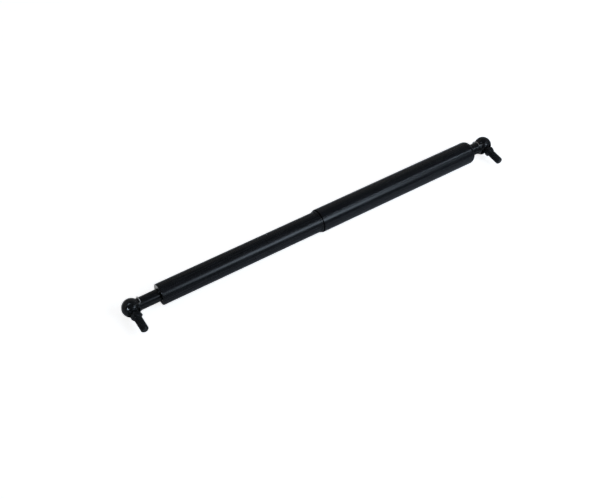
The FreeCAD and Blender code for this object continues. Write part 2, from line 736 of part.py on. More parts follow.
def ball_stud(doc, sheet, label, rod_end):
    """Ball, neck, hexagonal collar and threaded stud along -Y."""
    body = new_body(doc, label)
    profile = new_sketch(body, label + "_profile")
    tip = "-Dims.SeatDistance - Dims.StudLength"
    neck_angle = math.degrees(math.acos(
        amount(sheet, "Dims.NeckRadius") / amount(sheet, "Dims.BallRadius")
    ))
    add_ball_outline(profile, sheet, "Dims.BallRadius", -neck_angle, 90, (
        ("0", tip),
        ("Dims.ThreadRadius - Dims.StudChamfer", tip),
        ("Dims.ThreadRadius", tip + " + Dims.StudChamfer"),
        ("Dims.ThreadRadius", "-Dims.SeatDistance"),
        ("Dims.NeckRadius", "-Dims.SeatDistance"),
    ))
    turn(body, profile, "V_Axis")

    top = "Dims.SeatDistance - Dims.CollarThickness"
    hexagon = new_sketch(body, label + "_hexagon", "XZ_Plane", top)
    corner = "Dims.CollarAcrossFlats / sqrt(3)"
    add_outline(hexagon, sheet, [
        ("%s * cos(%d deg)" % (corner, turn_angle), "%s * sin(%d deg)" % (corner, turn_angle))
        for turn_angle in range(0, 360, 60)
    ])
    collar = body.newObject("PartDesign::Pad", label + "_collar")
    collar.Profile = hexagon
    collar.setExpression("Length", "Dims.CollarThickness")
    hexagon.Visibility = False
    doc.recompute()

    bevel = new_sketch(body, label + "_bevel")
    flat = "Dims.CollarAcrossFlats / 2"
    add_outline(bevel, sheet, (
        (flat, "-(%s)" % top),
        (corner + " + Dims.CollarChamfer", "-(%s)" % top),
        (corner + " + Dims.CollarChamfer", "-(%s) - Dims.CollarChamfer * 2" % top),
    ))
    turn(body, bevel, "V_Axis", cut=True)
    place_at_end(body, rod_end)
    return body


def clip_path(sheet):
    """Middle line of the safety clip about the ball's centre.

    Each arm runs from its tip in the cross hole around the head to the bow over the shank. The
    arms lie on a sphere just outside the head, the bow on a circle just outside the shank.
    """
    wire = amount(sheet, "Dims.ClipWireRadius + Dims.ClipGap")
    sphere = amount(sheet, "Dims.HousingRadius") + wire
    bow = amount(sheet, "Dims.ShankRadius") + wire
    depth = -amount(sheet, "Dims.ClipPivotDepth")
    offset = amount(sheet, "Dims.ClipPivotOffset")
    plane = amount(sheet, "Dims.ClipBowPlane")
    half = math.radians(amount(sheet, "Dims.ClipBowAngle"))
    bend = 2.5 * wire
    straight_past_hole = 0.2 * bend
    bow_margin = 0.12
    shoulder = math.sqrt(sphere ** 2 - bow ** 2) - bend / 2

    def on_sphere(x, y):
        return FreeCAD.Vector(x, y, math.sqrt(sphere ** 2 - x ** 2 - y ** 2))

    def on_bow(angle):
        return FreeCAD.Vector(plane, bow * math.cos(angle), bow * math.sin(angle))

    reach = math.sqrt(sphere ** 2 - depth ** 2 - offset ** 2)
    tip = FreeCAD.Vector(offset, depth, amount(sheet, "Dims.ClipTip"))
    pin_top = FreeCAD.Vector(offset, depth, reach - straight_past_hole)
    pin = Part.makeLine(tip, pin_top)
    arm_start = on_sphere(offset + bend, depth)
    arm_end = on_sphere(shoulder, bow * math.cos(half) - bend / 2)
    middle = (arm_start + arm_end) * 0.5
    middle.multiply(sphere / middle.Length)
    arm = Part.Arc(arm_start, middle, arm_end).toShape()
    top = Part.Arc(on_bow(half - bow_margin), on_bow(0), on_bow(bow_margin - half)).toShape()
    halves = [pin, bridge(pin, arm), arm, bridge(arm, top)]
    mirrored = [piece.mirror(FreeCAD.Vector(0, 0, 0), FreeCAD.Vector(0, 0, 1)) for piece in halves]
    return Part.Wire(Part.__sortEdges__([edge for piece in halves + [top] + mirrored
                                         for edge in piece.Edges]))


def bridge(before, after):
    """A smooth curve from the end of one edge to the start of the next."""
    start = before.valueAt(before.LastParameter)
    stop = after.valueAt(after.FirstParameter)
    leave = before.tangentAt(before.LastParameter)
    arrive = after.tangentAt(after.FirstParameter)
    reach = (stop - start).Length / 3
    curve = Part.BezierCurve()
    curve.setPoles([start, start + leave * reach, stop - arrive * reach, stop])
    return curve.toShape()


def safety_clip(doc, sheet, label, rod_end):
    """Bent spring wire, swept along its middle line."""
    path = clip_path(sheet)
    start = path.OrderedVertexes[0].Point
    circle = Part.Circle(start, FreeCAD.Vector(0, 0, 1), amount(sheet, "Dims.ClipWireRadius"))
    profile = Part.Wire([circle.toShape()])
    clip = doc.addObject("Part::Feature", label)
    clip.Label = label
    clip.Shape = path.makePipeShell([profile], True, False)
    place_at_end(clip, rod_end)
    return clip


# Document -----------------------------------------------------------------------------------


def check(doc, parts):
    """Stops if any object failed to compute or any part isn't one sound shape."""
    for item in doc.Objects:
        if "Invalid" in item.State or "Error" in item.State:
            raise RuntimeError("%s: %s" % (item.Label, item.State))
    for part in parts:
        if part.Shape.isNull() or not part.Shape.isValid():
            raise RuntimeError("%s has no valid shape" % part.Label)
        if len(part.Shape.Solids) != 1:
            raise RuntimeError("%s has %d solids" % (part.Label, len(part.Shape.Solids)))


def build():
    doc = FreeCAD.newDocument("gas_strut_stay")
    sheet = fill_sheet(doc)
    parts = [
        cylinder_tube(doc, sheet),
        cylinder_end_plug(doc, sheet),
        end_plug_seal(doc),
        closing_washer(doc, sheet),
        rod_guide(doc, sheet),
        rod_seal(doc, sheet),
        seal_support_ring(doc, sheet),
        piston_rod(doc, sheet),
        piston_stop_washer(doc, sheet),
        piston(doc, sheet),
        piston_ring(doc, sheet),
        flow_disc(doc, sheet),
        piston_nut(doc, sheet),
        tube_carrier(doc, sheet),
        protective_tube(doc, sheet),
        mouth_guide_ring(doc, sheet),
    ]
    for end, rod_end in (("cylinder_end", False), ("rod_end", True)):
        parts.append(ball_socket(doc, sheet, end + "_ball_socket", rod_end))
        parts.append(ball_retaining_ring(doc, sheet, end + "_retaining_ring", rod_end))
        parts.append(ball_stud(doc, sheet, end + "_ball_stud", rod_end))
        parts.append(safety_clip(doc, sheet, end + "_safety_clip", rod_end))
    doc.recompute()
    check(doc, parts)
    os.makedirs("parts", exist_ok=True)
    for part in parts:
        part.Shape.exportStep("parts/%s.step" % part.Label)
        print("%-30s %10.1f mm3" % (part.Label, part.Shape.Volume))


build()
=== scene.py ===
import json
import math

import bmesh
import bpy
from mathutils import Matrix, Vector

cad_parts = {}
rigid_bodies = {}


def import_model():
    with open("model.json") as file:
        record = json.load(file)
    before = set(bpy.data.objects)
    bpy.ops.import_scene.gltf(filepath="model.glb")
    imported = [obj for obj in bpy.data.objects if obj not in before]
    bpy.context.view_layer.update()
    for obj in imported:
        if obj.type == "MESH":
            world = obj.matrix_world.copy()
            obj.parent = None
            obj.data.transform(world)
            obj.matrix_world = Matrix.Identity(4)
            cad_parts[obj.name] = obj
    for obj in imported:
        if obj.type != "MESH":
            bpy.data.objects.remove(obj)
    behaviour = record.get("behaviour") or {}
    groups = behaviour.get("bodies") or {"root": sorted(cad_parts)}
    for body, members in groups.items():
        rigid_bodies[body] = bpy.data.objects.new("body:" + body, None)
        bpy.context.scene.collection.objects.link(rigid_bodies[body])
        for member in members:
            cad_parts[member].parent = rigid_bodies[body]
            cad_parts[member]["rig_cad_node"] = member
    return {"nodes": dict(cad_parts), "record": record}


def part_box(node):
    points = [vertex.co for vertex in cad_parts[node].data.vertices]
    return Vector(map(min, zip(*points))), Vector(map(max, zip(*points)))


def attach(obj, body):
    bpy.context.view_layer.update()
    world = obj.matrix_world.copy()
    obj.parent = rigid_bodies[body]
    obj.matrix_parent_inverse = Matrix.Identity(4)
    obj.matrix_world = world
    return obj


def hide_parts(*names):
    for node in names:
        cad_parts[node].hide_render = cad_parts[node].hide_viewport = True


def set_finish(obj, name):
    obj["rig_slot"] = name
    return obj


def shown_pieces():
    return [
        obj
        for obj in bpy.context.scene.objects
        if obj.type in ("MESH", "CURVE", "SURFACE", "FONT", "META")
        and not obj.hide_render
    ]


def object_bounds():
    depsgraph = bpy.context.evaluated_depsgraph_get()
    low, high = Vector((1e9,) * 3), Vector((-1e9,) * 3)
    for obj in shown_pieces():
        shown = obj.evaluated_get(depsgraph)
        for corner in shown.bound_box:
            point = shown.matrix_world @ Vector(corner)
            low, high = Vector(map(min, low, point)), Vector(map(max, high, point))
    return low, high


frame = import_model()
cad_low, cad_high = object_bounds()

# Gas strut stay: +X runs along the strut, both threaded studs point along -Y, +Z is up. Metres.

MM = 0.001
ENDS = ("cylinder_end", "rod_end")

# Ball stud, size 13 with an M8 thread; depths are measured from the ball's centre
BALL_RADIUS = 6.5 * MM
NECK_RADIUS = 3.5 * MM
NECK_FILLET = 0.5 * MM
NECK_FLARE = 0.2 * MM
NECK_FLARE_LENGTH = 0.3 * MM
COLLAR_TOP = 9.6 * MM
SEAT = 13.0 * MM
COLLAR_APOTHEM = 5.0 * MM
COLLAR_SLOPE = 1.36
CONE_ROW = 0.09 * MM
SEAT_BEVEL = 0.2 * MM
THREAD_RADIUS = 4.0 * MM
THREAD_STEP = 0.02 * MM
THREAD_PITCH = 1.25 * MM
THREAD_DEPTH = 0.72 * MM
THREAD_CREST = 0.08
THREAD_FLANK = 0.36
THREAD_RUNOUT = 1.0 * MM
STUD_TIP = 29.5 * MM
TIP_CHAMFER = 1.2 * MM

# Rows of the ball stud's mesh, and points in each row
BALL_ROWS = 40
FILLET_ROWS = 4
CONE_ROWS = 10
THREAD_ROWS_PER_TURN = 16
AROUND = 96

# Points of a mesh that are closer than this are one point
MERGE_GAP = 0.0001 * MM

# Safety clip, by the wire's middle line; distances are from the ball's centre
CLIP_WIRE_RADIUS = 0.6 * MM
CLIP_SPHERE = 10.1 * MM
CLIP_BOW = 7.1 * MM
CLIP_BOW_PLANE = 8.95 * MM
CLIP_BOW_HALF = math.radians(115.0)
CLIP_BOW_MARGIN = 0.12
CLIP_BEND = 1.75 * MM
CLIP_PIN = Vector((0.8, -4.9, 0.0)) * MM
CLIP_TIP = 5.6 * MM
CLIP_CHAMFER = 0.1 * MM
PIN_SHORTENED = 0.2

# Rows of the clip's mesh along each stretch, and points in each row
ARM_ROWS = 16
BOW_ROWS = 64
PIN_BEND_ROWS = 16
BOW_BEND_ROWS = 20
CLIP_AROUND = 24

# Edges sharper than these many degrees stay crisp
PIECE_SHARP = 32.0
CAD_SHARP = 28.0

# Dark seam between sleeve and collar, painted shade and grime: half its width, and how far it fades
SEAM_HALF_WIDTH = 0.35 * MM
SEAM_FADE = 0.15 * MM
SEAM_SHADE_AND_GRIME = (0.004, 0.004, 0.004)

# Safety clips, painted highlight and shade: along X from the nearest ball's centre, and height, where
# the plating turns from a painted shade to a painted highlight
BOW_START = 5.5 * MM
BOW_FULL = 8.2 * MM
UNDERSIDE = -3.0 * MM
TOPSIDE = 1.0 * MM

# Camera, placed as the strut is seen from above its cylinder end
VIEW_AZIMUTH = 37.32
VIEW_ELEVATION = 51.355
VIEW_ROLL = 5.46
VIEW_LENS = 53.11
VIEW_NEAR = 0.01
VIEW_FAR = 50.0
SENSOR_WIDTH = 36.0
CAMERA_FROM_BALL = Vector((-160.8, -464.5, 695.4)) * MM

# Floor and room: levels that the glossy paint mirrors
FLOOR_SIZE = 6.0
FLOOR_COLOUR = (0.76, 0.79, 0.82, 1.0)
FLOOR_ROUGHNESS = 0.9
FLOOR_GLOW = 0.85
BACKDROP_LEVEL = 0.16
ROOM_LEVEL = 0.015

# Where the backdrop fades out upwards, and where it sets in towards +Y, by a direction's part
BACKDROP_TOP = (0.50, 0.85)
BACKDROP_SIDE = (-0.1, 0.3)

# Light colours
COOL = (0.66, 0.79, 0.94)
NEUTRAL = (1.0, 1.0, 1.0)

# Long lights beside the strut: how far off, then for each its height in degrees, from and to
# along X, width, power and the share of its length that fades at each end
STRIP_REACH = 1.5
MAIN_STRIP = {"height": 41.5, "start": 0.23, "stop": 1.36, "width": 0.56, "power": 10.0, "fade": 0.48}
THIN_STRIP = {"height": 62.0, "start": 0.85, "stop": 1.90, "width": 0.06, "power": 2.6, "fade": 0.20}

# Lights seen only mirrored: places from the cylinder end's ball, or in the frame for the card
SPOT_PLACE = Vector((-0.79, -0.36, 0.50)) * 1.3
SPOT_SIZE = (0.14, 0.14)
SPOT_POWER = 0.05
SPOT_SPREAD = math.radians(14.0)
BAR_PLACE = Vector((-0.25, 0.30, 0.92)) * 1.5
BAR_SIZE = (0.55, 0.14)
BAR_POWER = 0.085
BAR_TURN = -78.0
BAR_SPREAD = math.radians(30.0)
CARD_X = 0.002
CARD_Y = 0.049
CARD_RISE = 0.0005
CARD_SIZE = (0.05, 0.05)
CARD_POWER = 0.007

# Light on the ground before the sleeve's closed end, and the overall fill above the strut
GROUND_LIGHT_PLACE = Vector((0.47, -0.40, 0.50))
GROUND_LIGHT_X = 0.42
GROUND_LIGHT_Y = -0.10
GROUND_LIGHT_SIZE = (0.3, 0.3)
GROUND_LIGHT_POWER = 0.6
FILL_HEIGHT = 1.8
FILL_SIZE = (2.4, 2.4)
FILL_POWER = 4.8

# Paint and plastic: base colour, and the colour that it drifts to
PAINT = ((0.013, 0.014, 0.016), (0.017, 0.018, 0.021))
JOINT_BLACK = ((0.012, 0.013, 0.014), (0.017, 0.018, 0.020))
COLLAR_BLACK = ((0.013, 0.013, 0.014), (0.018, 0.018, 0.020))
WORN_PAINT = (0.16, 0.155, 0.15)
WEAR_AMOUNT = 0.2
WEAR_WIDTH = 0.25 * MM

# Metals, plastics and rubber: one colour, and the other that it varies to
# The clips' plating: a bright colour for the painted highlight and a near-black one for the painted
# shade
CLIP_PLATING_LIT_AND_SHADED = ((0.86, 0.86, 0.84), (0.09, 0.09, 0.09))
SPRING_STEEL = ((0.16, 0.16, 0.16), (0.10, 0.10, 0.10))
ROD_STEEL = ((0.74, 0.75, 0.77), (0.66, 0.67, 0.69))
ZINC_STEEL = ((0.58, 0.58, 0.56), (0.44, 0.45, 0.45))
BRONZE = ((0.58, 0.38, 0.17), (0.42, 0.27, 0.12))
ALLOY = ((0.70, 0.70, 0.71), (0.58, 0.58, 0.60))
PALE_PLASTIC = ((0.72, 0.70, 0.64), (0.64, 0.62, 0.56))
RUBBER = ((0.018, 0.018, 0.018), (0.028, 0.028, 0.028))

# Heights of the bumps in paint and plastic, and of the grain in metal
PEEL_HEIGHT = 0.02 * MM
GRAIN_HEIGHT = 0.01 * MM

# How noise is drawn out along the frame's axes
EVEN = (1.0, 1.0, 1.0)
ROUND_GRAIN = (1.0, 0.08, 0.08)
ALONG_GRAIN = (0.05, 1.0, 1.0)
STREAKS = (0.4, 14.0, 14.0)


def node_middle(node):
    low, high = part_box(node)
    return (low + high) / 2


def ball_centre(end):
    """Centre of an end's ball: on the strut's axis, level with the middle of the stud along X."""
    stud = node_middle(end + "_ball_stud")
    axis = node_middle("cylinder_tube")
    return Vector((stud.x, axis.y, axis.z))


# Meshes ---------------------------------------------------------------------------------------


def mesh_object(name, vertices, faces):
    """A closed, smooth-shaded mesh piece with its normals pointing out."""
    mesh = bpy.data.meshes.new(name)
    mesh.from_pydata([tuple(v) for v in vertices], [], faces)
    bm = bmesh.new()
    bm.from_mesh(mesh)
    bmesh.ops.remove_doubles(bm, verts=bm.verts, dist=MERGE_GAP)
    bmesh.ops.recalc_face_normals(bm, faces=bm.faces)
    bm.to_mesh(mesh)
    bm.free()
    piece = bpy.data.objects.new(name, mesh)
    bpy.context.scene.collection.objects.link(piece)
    smooth(piece, PIECE_SHARP)
    return piece


def smooth(piece, angle):
    """Smooth shading, with edges sharper than angle degrees kept crisp."""
    piece.data.shade_smooth()
    piece.data.set_sharp_from_angle(angle=math.radians(angle))


def close_poles(piece):
    """Collapses the edges of no length that a sphere's mesh has at its poles."""
    weld = piece.modifiers.new("close_poles", "WELD")
    weld.mode = "CONNECTED"
    weld.merge_threshold = MERGE_GAP


def hexagon_radius(angle):
    """Distance from the middle of the collar's hexagon to its outline; a corner lies on angle 0."""
    part = (angle + math.pi / 6) % (math.pi / 3) - math.pi / 6
    return COLLAR_APOTHEM / math.cos(math.pi / 6 - abs(part))


def thread_radius(turns, depth):
    """Radius of the thread at this many turns past its start and this depth."""
    phase = abs(turns % 1.0 - 0.5)
    crest = min(1.0, max(0.0, (phase - THREAD_CREST) / THREAD_FLANK))
    runout = min(1.0, max(0.0, (depth - SEAT) / THREAD_RUNOUT))
    return THREAD_RADIUS - THREAD_DEPTH * (1.0 - crest) * runout


def round_section(depth, radius):
    """A round cross section of the ball stud."""
    return depth, lambda angle: radius


def ball_sections():
    """From the ball's pole to where it flares into the neck."""
    pole_to_neck = math.pi - math.asin((NECK_RADIUS + NECK_FLARE) / BALL_RADIUS)
    sections = []
    for step in range(1, BALL_ROWS + 1):
        angle = pole_to_neck * step / BALL_ROWS
        sections.append(round_section(-BALL_RADIUS * math.cos(angle), BALL_RADIUS * math.sin(angle)))
    return sections


def neck_sections(start):
    """The neck from the end of the ball, and the fillet that widens it into the collar."""
    sections = [
        round_section(start + NECK_FLARE_LENGTH, NECK_RADIUS),
        round_section(COLLAR_TOP - NECK_FILLET, NECK_RADIUS),
    ]
    for step in range(1, FILLET_ROWS + 1):
        angle = math.pi / 2 * step / FILLET_ROWS
        sections.append(round_section(
            COLLAR_TOP - NECK_FILLET * (1 - math.sin(angle)),
            NECK_RADIUS + NECK_FILLET * (1 - math.cos(angle)),
        ))
    return sections


def cone_section(drop):
    """The hexagon this far below the collar's top, with its corners cut by the cone."""
    cone = COLLAR_APOTHEM + COLLAR_SLOPE * drop
    return COLLAR_TOP + drop, lambda angle: min(cone, hexagon_radius(angle))


def seat_section(inset, rise):
    """The hexagon near the seat; inset and rise are shares of the seat's bevel."""
    return SEAT - SEAT_BEVEL * rise, lambda angle: hexagon_radius(angle) - SEAT_BEVEL * inset


def thread_section(depth):
    """The thread at this depth, inside the chamfer of the stud's tip."""
    tip = THREAD_RADIUS - TIP_CHAMFER + (STUD_TIP - depth)
    turns = depth / THREAD_PITCH
    return depth, lambda angle: min(tip, thread_radius(turns - angle / math.tau, depth))


def stud_sections():
    """Cross sections of a ball stud from the ball's pole to the tip: (depth, radius at an angle)."""
    sections = ball_sections()
    sections += neck_sections(sections[-1][0])
    sections += [cone_section(CONE_ROW * step) for step in range(CONE_ROWS + 1)]
    sections += [seat_section(0.0, 1.0), seat_section(0.3, 0.3), seat_section(1.0, 0.0)]
    sections.append(round_section(SEAT, THREAD_RADIUS + THREAD_STEP))
    length = STUD_TIP - SEAT
    rows = int(length / THREAD_PITCH * THREAD_ROWS_PER_TURN)
    sections += [thread_section(SEAT + length * row / rows) for row in range(rows + 1)]
    return sections


def stud_faces(rows):
    """Faces of a closed body of this many rings between two poles, the first and last vertex."""
    faces = []
    last_row = 1 + (rows - 1) * AROUND
    last = last_row + AROUND
    for number in range(AROUND):
        following = (number + 1) % AROUND
        faces.append((0, 1 + number, 1 + following))
        for row in range(rows - 1):
            near, far = 1 + row * AROUND, 1 + (row + 1) * AROUND
            faces.append((near + number, far + number, far + following, near + following))
        faces.append((last_row + number, last, last_row + following))
    return faces


def ball_stud(end):
    """Ball, neck, collar and a cut M8 thread in one closed mesh, pointing along -Y."""
    centre = ball_centre(end)
    sections = stud_sections()
    vertices = [centre + Vector((0, BALL_RADIUS, 0))]
    for depth, radius in sections:
        for number in range(AROUND):
            angle = math.tau * number / AROUND
            reach = radius(angle)
            vertices.append(centre + Vector((reach * math.cos(angle), -depth, reach * math.sin(angle))))
    vertices.append(centre + Vector((0, -STUD_TIP, 0)))
    stud = mesh_object(end + "_threaded_stud", vertices, stud_faces(len(sections)))
    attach(stud, end + "_stud")
    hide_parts(end + "_ball_stud")
    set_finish(stud, "black_stud")


def arc(start, middle, stop, rows):
    """Points on the circle from start through middle to stop, and its tangents at both ends."""
    one = start - stop
    two = middle - stop
    normal = one.cross(two)
    to_centre = (one.length_squared * two - two.length_squared * one).cross(normal)
    centre = stop + to_centre / (2 * normal.length_squared)
    spoke = start - centre
    halfway = middle - centre
    axis = spoke.cross(halfway).normalized()
    sweep = spoke.angle(halfway) + halfway.angle(stop - centre)
    points = []
    for row in range(rows + 1):
        points.append(centre + Matrix.Rotation(sweep * row / rows, 3, axis) @ spoke)
    return points, axis.cross(spoke).normalized(), axis.cross(stop - centre).normalized()


def bend(start, leave, stop, arrive, rows):
    """Points inside a smooth curve that leaves start along leave and reaches stop along arrive."""
    reach = (stop - start).length / 3
    poles = (start, start + leave * reach, stop - arrive * reach, stop)
    points = []
    for row in range(1, rows):
        t = row / rows
        weights = ((1 - t) ** 3, 3 * t * (1 - t) ** 2, 3 * t * t * (1 - t), t ** 3)
        points.append(sum((pole * weight for pole, weight in zip(poles, weights)), Vector()))
    return points


def on_sphere(x, y):
    """Point of the sphere just outside the head, on the side of +Z."""
    return Vector((x, y, math.sqrt(CLIP_SPHERE ** 2 - x ** 2 - y ** 2)))


def on_bow(angle):
    """Point of the circle just outside the shank, by its angle from +Y towards +Z."""
    return Vector((CLIP_BOW_PLANE, CLIP_BOW * math.cos(angle), CLIP_BOW * math.sin(angle)))


def clip_path():
    """Middle line of a safety clip about the ball's centre, from tip to tip around the shank."""
    up = Vector((0, 0, 1))
    tip = CLIP_PIN + up * CLIP_TIP
    pin_top = CLIP_PIN + up * (on_sphere(CLIP_PIN.x, CLIP_PIN.y).z - PIN_SHORTENED * CLIP_BEND)
    shoulder = math.sqrt(CLIP_SPHERE ** 2 - CLIP_BOW ** 2) - CLIP_BEND / 2
    arm_start = on_sphere(CLIP_PIN.x + CLIP_BEND, CLIP_PIN.y)
    arm_end = on_sphere(shoulder, CLIP_BOW * math.cos(CLIP_BOW_HALF) - CLIP_BEND / 2)
    arm_middle = (arm_start + arm_end).normalized() * CLIP_SPHERE
    arm, arm_leave, arm_arrive = arc(arm_start, arm_middle, arm_end, ARM_ROWS)
    reach = CLIP_BOW_HALF - CLIP_BOW_MARGIN
    bow, bow_leave, _ = arc(on_bow(reach), on_bow(0.0), on_bow(-reach), BOW_ROWS)
    side = [tip, pin_top]
    side += bend(pin_top, up, arm_start, arm_leave, PIN_BEND_ROWS) + arm
    side += bend(arm_end, arm_arrive, bow[0], bow_leave, BOW_BEND_ROWS)
    other = [Vector((point.x, point.y, -point.z)) for point in reversed(side)]
    return side + bow + other


def wire_stations(path):
    """The wire's rings along path, (middle, direction, radius), with chamfered ends."""
    last = len(path) - 1
    ways = [(path[min(i + 1, last)] - path[max(i - 1, 0)]).normalized() for i in range(last + 1)]
    stations = [(point, way, CLIP_WIRE_RADIUS) for point, way in zip(path, ways)]
    stations[0] = (path[0] + ways[0] * CLIP_CHAMFER, ways[0], CLIP_WIRE_RADIUS)
    stations[last] = (path[last] - ways[last] * CLIP_CHAMFER, ways[last], CLIP_WIRE_RADIUS)
    stations.insert(0, (path[0], ways[0], CLIP_WIRE_RADIUS - CLIP_CHAMFER))
    stations.append((path[last], ways[last], CLIP_WIRE_RADIUS - CLIP_CHAMFER))
    return stations


def wire_points(stations):
    """Points around the wire, ring after ring, without twist."""
    points = []
    across = Vector((1, 0, 0))
    for middle, way, radius in stations:
        across = (across - way * across.dot(way)).normalized()
        beside = way.cross(across)
        for number in range(CLIP_AROUND):
            angle = math.tau * number / CLIP_AROUND
            points.append(middle + (across * math.cos(angle) + beside * math.sin(angle)) * radius)
    return points


def wire_faces(count):
    """Faces of a wire of this many points in rings, with a flat face on each end."""
    last_ring = count - CLIP_AROUND
    faces = [tuple(range(CLIP_AROUND)), tuple(range(last_ring, count))]
    for near in range(0, last_ring, CLIP_AROUND):
        far = near + CLIP_AROUND
        for number in range(CLIP_AROUND):
            following = (number + 1) % CLIP_AROUND
            faces.append((near + number, near + following, far + following, far + number))
    return faces


def wire_clip(end, body, outward):
    """Spring wire of an end's safety clip in one closed mesh; outward is 1 where the shank is at +X."""
    centre = ball_centre(end)
    points = wire_points(wire_stations(clip_path()))
    vertices = [centre + Vector((point.x * outward, point.y, point.z)) for point in points]
    clip = mesh_object(end + "_wire_clip", vertices, wire_faces(len(vertices)))
    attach(clip, body)
    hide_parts(end + "_safety_clip")
    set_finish(clip, "clip_wire")


# Materials ------------------------------------------------------------------------------------


class Nodes:
    """A short way to add and link the nodes of one material."""

    def __init__(self, name):
        self.material = bpy.data.materials.new(name)
        self.material.use_nodes = True
        self.tree = self.material.node_tree
        self.shader = self.tree.nodes["Principled BSDF"]
        self.place = self.tree.nodes.new("ShaderNodeTexCoord").outputs["Object"]

    def add(self, kind, **inputs):
        node = self.tree.nodes.new(kind)
        for key, value in inputs.items():
            self.put(node.inputs[key.replace("_", " ")], value)
        return node

    def put(self, socket, value):
        if isinstance(value, bpy.types.NodeSocket):
            self.tree.links.new(value, socket)
        else:
            socket.default_value = value

    def noise(self, scale, detail=2.0, stretch=EVEN):
        """Noise about 0.5, with features of about 1/scale metres, drawn out by stretch."""
        place = self.add("ShaderNodeMapping", Vector=self.place, Scale=stretch)
        texture = self.add("ShaderNodeTexNoise", Vector=place.outputs[0])
        self.put(texture.inputs["Scale"], scale)
        self.put(texture.inputs["Detail"], detail)
        return texture.outputs["Fac"]

    def map(self, value, low, high, start=0.3, stop=0.7):
        """value from start..stop mapped to low..high."""
        node = self.add("ShaderNodeMapRange", Value=value)
        for name, number in (("From Min", start), ("From Max", stop), ("To Min", low), ("To Max", high)):
            node.inputs[name].default_value = number
        return node.outputs["Result"]

    def blend(self, factor, one, two):
        node = self.tree.nodes.new("ShaderNodeMix")
        node.data_type = "RGBA"
        self.put(node.inputs[0], factor)
        for socket, value in ((node.inputs[6], one), (node.inputs[7], two)):
            self.put(socket, tuple(value) + (1.0,) if isinstance(value, tuple) else value)
        return node.outputs[2]

    def math(self, operation, one, two):
        node = self.tree.nodes.new("ShaderNodeMath")
        node.operation = operation
        self.put(node.inputs[0], one)
        self.put(node.inputs[1], two)
        return node.outputs[0]

    def edge_mask(self, radius):
        """About 1 on convex edges and 0 on flats, from how far a rounded normal leans away."""
        bevel = self.tree.nodes.new("ShaderNodeBevel")
        bevel.samples = 4
        bevel.inputs["Radius"].default_value = radius
        geometry = self.tree.nodes.new("ShaderNodeNewGeometry")
        lean = self.tree.nodes.new("ShaderNodeVectorMath")
        lean.operation = "DOT_PRODUCT"
        self.put(lean.inputs[0], bevel.outputs[0])
        self.put(lean.inputs[1], geometry.outputs["Normal"])
        return self.map(lean.outputs["Value"], 1.0, 0.0, 0.80, 0.99)

    def clear_of_seam_shade(self):
        """1 away from the seam between sleeve and collar, 0 in the seam, which painted shade and grime
        darken.
        """
        axes = self.add("ShaderNodeSeparateXYZ", Vector=self.place)
        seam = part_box("protective_tube")[0].x
        away = self.math("ABSOLUTE", self.math("SUBTRACT", axes.outputs["X"], seam), 0.0)
        return self.map(away, 0.0, 1.0, SEAM_HALF_WIDTH, SEAM_HALF_WIDTH + SEAM_FADE)

    def bump(self, height, strength, distance):
        node = self.add("ShaderNodeBump", Height=height)
        node.inputs["Strength"].default_value = strength
        node.inputs["Distance"].default_value = distance
        return node.outputs["Normal"]


def black_paint(name, colours, roughness, peel, specular=0.4):
    """Baked black paint: slight colour drift, orange peel, handling streaks, worn edges, and a seam
    between sleeve and collar darkened by painted shade and grime.
    """
    n = Nodes(name)
    colour = n.blend(n.map(n.noise(70.0), 0.0, 1.0), *colours)
    spots = n.map(n.noise(900.0, detail=4.0), 0.0, 1.0, start=0.45, stop=0.6)
    wear = n.math("MULTIPLY", n.math("MULTIPLY", n.edge_mask(WEAR_WIDTH), spots), WEAR_AMOUNT)
    # The seam between sleeve and collar is painted near-black, painted shade and grime, and loses its
    # specular there.
    clear_of_painted_shade = n.clear_of_seam_shade()
    n.put(n.shader.inputs["Base Color"], n.blend(clear_of_painted_shade, SEAM_SHADE_AND_GRIME, n.blend(wear, colour, WORN_PAINT)))
    streaks = n.map(n.noise(60.0, detail=3.0, stretch=STREAKS), -0.04, 0.05)
    grain = n.map(n.noise(1400.0, detail=3.0), roughness - 0.03, roughness + 0.05)
    n.put(n.shader.inputs["Roughness"], n.math("ADD", grain, streaks))
    n.put(n.shader.inputs["Normal"], n.bump(n.noise(850.0), peel, PEEL_HEIGHT))
    n.put(n.shader.inputs["Specular IOR Level"], n.math("MULTIPLY", clear_of_painted_shade, specular))
    return n.material


def bright_metal(name, colours, roughness, grain_scale, stretch=EVEN, bump=0.15):
    """Plated or turned metal with a directional grain."""
    n = Nodes(name)
    grain = n.noise(grain_scale, detail=4.0, stretch=stretch)
    stains = n.map(n.noise(220.0, detail=3.0), 0.0, 1.0)
    n.put(n.shader.inputs["Base Color"], n.blend(stains, *colours))
    n.put(n.shader.inputs["Roughness"], n.map(grain, roughness - 0.06, roughness + 0.10))
    n.put(n.shader.inputs["Normal"], n.bump(grain, bump, GRAIN_HEIGHT))
    n.shader.inputs["Metallic"].default_value = 1.0
    return n.material


